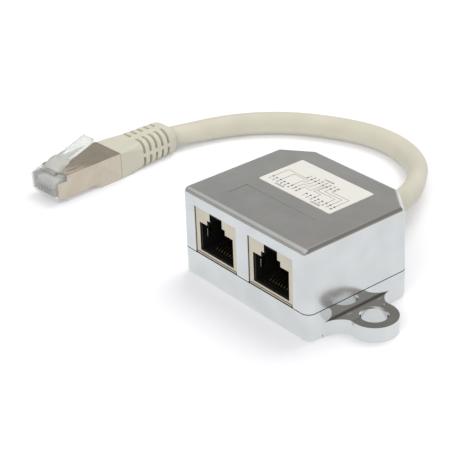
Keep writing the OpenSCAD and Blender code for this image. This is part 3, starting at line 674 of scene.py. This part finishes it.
def printLabel():
    bm = bmesh.new()
    for first, dots, digits, (middle, small) in label["blocks"].values():
        half = label["dot"] / 2
        for k in range(8):
            u = first + k * label["pitch"]
            middleOfDot = onLabel(u, dots)
            bm.faces.new([bm.verts.new((middleOfDot + Vector((x * half, y * half, 0))) * mm)
                          for x, y in ((-1, -1), (1, -1), (1, 1), (-1, 1))])
            mesh = digitMesh(str(k + 1), label["digit"] * mm, onLabel(u, digits) * mm)
            bm.from_mesh(mesh)
            bpy.data.meshes.remove(mesh)
        mesh = digitMesh(label["smallText"], label["smallDigit"] * mm, onLabel(middle, small) * mm)
        bm.from_mesh(mesh)
        bpy.data.meshes.remove(mesh)
    mesh = bpy.data.meshes.new("labelNumbers")
    bm.to_mesh(mesh)
    bm.free()
    paint(link("labelNumbers", mesh), ink)
    lines = []
    for top, block, contact, turn in label["wires"]:
        start, dots = label["blocks"]["upper"][:2]
        first, lowDots = label["blocks"][block][:2]
        u0, u1 = start + top * label["pitch"], first + contact * label["pitch"]
        lines.append([onLabel(*at) * mm for at in ((u0, dots), (u0, turn), (u1, turn), (u1, lowDots))])
    wires = runTree(polyCurve("labelWires", lines), printedLines, {"Width": label["lineWidth"] * mm, "Finish": ink})
    paint(wires, ink)


paint(roundedCopy("label", "paperLabel", 0.02 * mm, 1), paper)
printLabel()
print("label made")


# jacks: folded shields, black insulators and rows of spring contacts
jacks = {
    "middle": 10.35, "shieldEdge": 0.09, "insulatorEdge": 0.12, "contactPitch": 1.02, "contactThick": 0.35,
    # one contact from its pin, along under the floor and back up as a spring: y and z
    "springs": [[(-5.35, 5.1), (-5.35, 8.0), (-5.75, 8.55), (-15.9, 8.58), (-16.35, 8.75), (-16.3, 9.2),
                 (-15.6, 9.6), (-8.05, 12.07)],
                [(-3.15, 5.1), (-3.15, 8.0), (-3.55, 8.55), (-15.9, 8.58), (-16.35, 8.75), (-16.3, 9.2),
                 (-15.6, 9.6), (-8.05, 12.07)]],
    "front": -18.95, "lip": (7.6, 8.02, 8.30), "lipOut": (0.0, 0.22),
}


def contactRows(name, middle):  # four contacts of each length, side by side in turn
    rows = bmesh.new()
    for i, spring in enumerate(jacks["springs"]):
        shift = middle + (i - 0.5) * jacks["contactPitch"]
        bent = polyCurve(f"{name}Wire", [[Vector((shift, y, z)) * mm for y, z in spring]])
        thick = jacks["contactThick"] * mm
        wire = runTree(bent, sweptOval, {"Width": thick, "Height": thick, "Sides": 10, "Finish": contactGold})
        row = runTree(wire, rowOfParts, {"Count": 4, "Pitch": 2 * jacks["contactPitch"] * mm, "Finish": contactGold})
        rows.from_mesh(row.data)
        bpy.data.objects.remove(row)
    mesh = bpy.data.meshes.new(name)
    rows.to_mesh(mesh)
    rows.free()
    return link(name, mesh)


for side, middle in (("left", -jacks["middle"]), ("right", jacks["middle"])):
    shield = roundedCopy(f"jack_{side}_shield", f"{side}JackShield", jacks["shieldEdge"] * mm, 2)
    paint(shield, jackTin)
    lip = bmesh.new()
    half, low, high = jacks["lip"]
    outer, inner = (jacks["front"] - v for v in jacks["lipOut"][::-1])
    prism(lip, [(middle - half, low), (middle + half, low), (middle + half, high), (middle - half, high)],
          "y", outer, inner)
    paint(brokenEdges(meshPiece(f"{side}JackLip", lip), 0.05 * mm), jackTin)
    insulator = roundedCopy(f"jack_{side}_housing", f"{side}JackInsulator", jacks["insulatorEdge"] * mm, 1)
    paint(insulator, blackPlastic)
    springs = contactRows(f"{side}JackContacts", middle)
    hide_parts(f"jack_{side}_contacts")
    paint(springs, contactGold)
print("jacks made")


# inside the housing
board = roundedCopy("circuit_board", "circuitBoard", 0.08 * mm, 1)
paint(board, boardLaminate)
ferrule = roundedCopy("braid_ferrule", "braidFerrule", 0.1 * mm, 1)
paint(ferrule, ferruleBrass)
wireColors = {"orange": "#D4662A", "green": "#2B7A44", "blue": "#2F55A0", "brown": "#6B452C"}
solidWire, stripedWire = {}, {}
for color, shade in wireColors.items():
    solidWire[color] = wireInsulation(f"{color}WireInsulation", shade, shade, 2.0)
    stripedWire[color] = wireInsulation(f"{color}StripedInsulation", "#E9E6DF", shade, 3.0)
    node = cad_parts[f"pair_{color}"]
    node.data.materials.clear()
    node.data.materials.append(solidWire[color])
print("inside made")


# plug: clear body with its latch, folded shield, blades and conductors
plug = {
    "at": (-82.5, -24.4, 1.5), "turn": 3.5, "bodyEdge": 0.14, "shieldEdge": 0.06,
    "bladePitch": 1.02, "blade": [(0.6, 0.35), (0.85, 0.1), (3.15, 0.1), (3.4, 0.35), (3.4, 2.5), (2.9, 3.2),
                                  (1.1, 3.2), (0.6, 2.7)], "bladeThick": 0.34,
    "wire": (1.4, 22.9, 3.72, 0.92), "top": 6.72, "bump": (3.3, 8.2), "bumpSize": (1.7, 5.0, 0.28),
}
plugPlace = Matrix.Translation(Vector(plug["at"]) * mm) @ Matrix.Rotation(math.radians(plug["turn"]), 4, "Z")


def onPlug(piece):  # drawn with the nose at the origin, then laid where the plug lies
    piece.data.transform(plugPlace)
    return piece


plugBody = roundedCopy("plug_body", "clearPlugBody", plug["bodyEdge"] * mm, 2)
paint(plugBody, clearBody)
plugShield = roundedCopy("plug_shield", "foldedPlugShield", plug["shieldEdge"] * mm, 2)
paint(plugShield, plugTin)
across, along, rise = (v * mm for v in plug["bumpSize"])
shieldBump = onPlug(runTree(pointMesh("pressedBump", [(*plug["bump"], plug["top"])]), raisedMarks, {
    "Across": across, "Along": along, "Rise": rise, "Finish": plugTin}))
paint(shieldBump, plugTin)
blade = bmesh.new()
prism(blade, plug["blade"], "x", -plug["bladeThick"] / 2, plug["bladeThick"] / 2)
blades = onPlug(runTree(meshPiece("plugBlades", blade), rowOfParts, {
    "Count": 8, "Pitch": plug["bladePitch"] * mm, "Finish": contactGold}))
blades = brokenEdges(blades, 0.04 * mm, 1)
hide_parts("plug_contacts")
paint(blades, contactGold)


def plugPair(color, k):  # a striped wire and its plain partner, side by side
    start, end, height, thick = plug["wire"]
    pair = bmesh.new()
    for j, insulation in enumerate((stripedWire[color], solidWire[color])):
        x = plug["bladePitch"] * (2 * k + j - 3.5)
        line = polyCurve(f"{color}Wire", [[Vector((x, y, height)) * mm for y in (start, (start + end) / 2, end)]])
        wire = runTree(line, sweptOval, {"Width": thick * mm, "Height": thick * mm, "Sides": 20,
                                         "Finish": insulation})
        for face in wire.data.polygons:
            face.material_index = j
        pair.from_mesh(wire.data)
        bpy.data.objects.remove(wire)
    mesh = bpy.data.meshes.new(f"{color}PlugPair")
    pair.to_mesh(mesh)
    pair.free()
    piece = onPlug(link(f"{color}PlugPair", mesh))
    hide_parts(f"plug_pair_{color}")
    paint(piece, stripedWire[color])
    mesh.materials.append(solidWire[color])
    return piece


conductors = [plugPair(color, k) for k, color in enumerate(("orange", "green", "blue", "brown"))]
print("plug made")


# boot: a moulded sleeve that goes from the plug's box to a rounded end, with rings of slots so that it bends
boot = {
    "start": 23.6,
    # distance from the plug, full width, lowest and highest edge, corner radius
    "sections": [(0, 11.8, -1.5, 6.72, 0.5), (2.5, 11.8, -1.5, 6.74, 0.8), (5.2, 11.7, -1.5, 6.82, 1.5),
                 (7.6, 11.6, -1.5, 6.92, 2.4), (12, 11.5, -1.5, 7.0, 2.9), (17, 11.3, -1.5, 7.08, 3.3),
                 (20.4, 11.1, -1.5, 7.1, 3.6), (21.5, 10.5, -1.35, 6.85, 3.5), (22.1, 9.6, -1.0, 6.4, 3.2),
                 (22.3, 8.8, -0.7, 6.0, 2.9)],
    "cornerSteps": 9, "bore": (5.7, 7.1, 2.6), "rings": 5, "pitch": 2.35, "firstRing": 9.0,
    "slot": 0.9, "slotDepth": 1.5, "topBridge": (-0.6, 1.7), "sideBridge": (2.3, 3.4),
}


def roundedBox(width, low, high, corner, steps):  # a rounded rectangle, counter-clockwise from the right side
    points = []
    for cx, cz, start in ((1, 1, 0), (-1, 1, 90), (-1, -1, 180), (1, -1, 270)):
        x = cx * (width / 2 - corner)
        z = (high - corner) if cz > 0 else (low + corner)
        for k in range(steps + 1):
            turn = math.radians(start + 90 * k / steps)
            points.append((x + corner * math.cos(turn), z + corner * math.sin(turn)))
    return points


def bootForm():
    bm = bmesh.new()
    boreWide, boreHigh, boreMiddle = boot["bore"]
    rings = []
    for y, width, low, high, corner in boot["sections"]:
        outline = roundedBox(width, low, high, corner, boot["cornerSteps"])
        rings.append([bm.verts.new(Vector((x, boot["start"] + y, z)) * mm) for x, z in outline])
    ends = (boot["sections"][-1][0], 0)
    turns = [math.atan2((z - boreMiddle) / boreHigh, x / boreWide) for x, z in outline]
    for y in ends:
        rings.append([bm.verts.new(Vector((boreWide / 2 * math.cos(t), boot["start"] + y,
                                           boreMiddle + boreHigh / 2 * math.sin(t))) * mm) for t in turns])
    rings.append(rings[0])
    for near, far in zip(rings, rings[1:]):
        for i in range(len(near)):
            k = (i + 1) % len(near)
            bm.faces.new((near[i], near[k], far[k], far[i]))
    return meshPiece("reliefBoot", bm)


def slotCutter():  # four curved slots of one ring
    bm = bmesh.new()
    low, high = -1.5, 7.05
    outer = roundedBox(13.4, low - 1, high + 1, 4.4, 40)
    inner = roundedBox(11.4 - 2 * boot["slotDepth"], low + 1.1, high - 1.1, 2.4, 40)
    left, right = boot["topBridge"]
    floorZ, roofZ = boot["sideBridge"]
    half = boot["slot"] / 2
    y = boot["start"] + boot["firstRing"]
    for toRight, toTop in ((True, True), (False, True), (False, False), (True, False)):
        def within(x, z):
            return (x > right if toRight else x < left) and (z > roofZ if toTop else z < floorZ)
        bands = []
        for outline in (outer, inner):
            band = [p for p in outline if within(*p)]
            ends = [(right if toRight else left, max(z for x, z in band) if toTop else min(z for x, z in band)),
                    (max(x for x, z in band) if toRight else min(x for x, z in band), roofZ if toTop else floorZ)]
            band = sorted(band + ends, key=lambda p: math.atan2(abs(p[1] - 2.8), abs(p[0])))
            bands.append(band)
        prism(bm, bands[0] + bands[1][::-1], "y", y - half, y + half)
    return meshPiece("slotCutter", bm)


cutter = slotCutter()
slotted = runTree(bootForm(), slottedForm, {
    "Cutter": cutter, "Rings": boot["rings"], "Pitch": boot["pitch"] * mm, "Finish": bootPvc})
bpy.data.objects.remove(cutter)
bootPiece = onPlug(brokenEdges(slotted, 0.09 * mm, 2, 40))
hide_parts("plug_boot")
paint(bootPiece, bootPvc)
print("boot made")
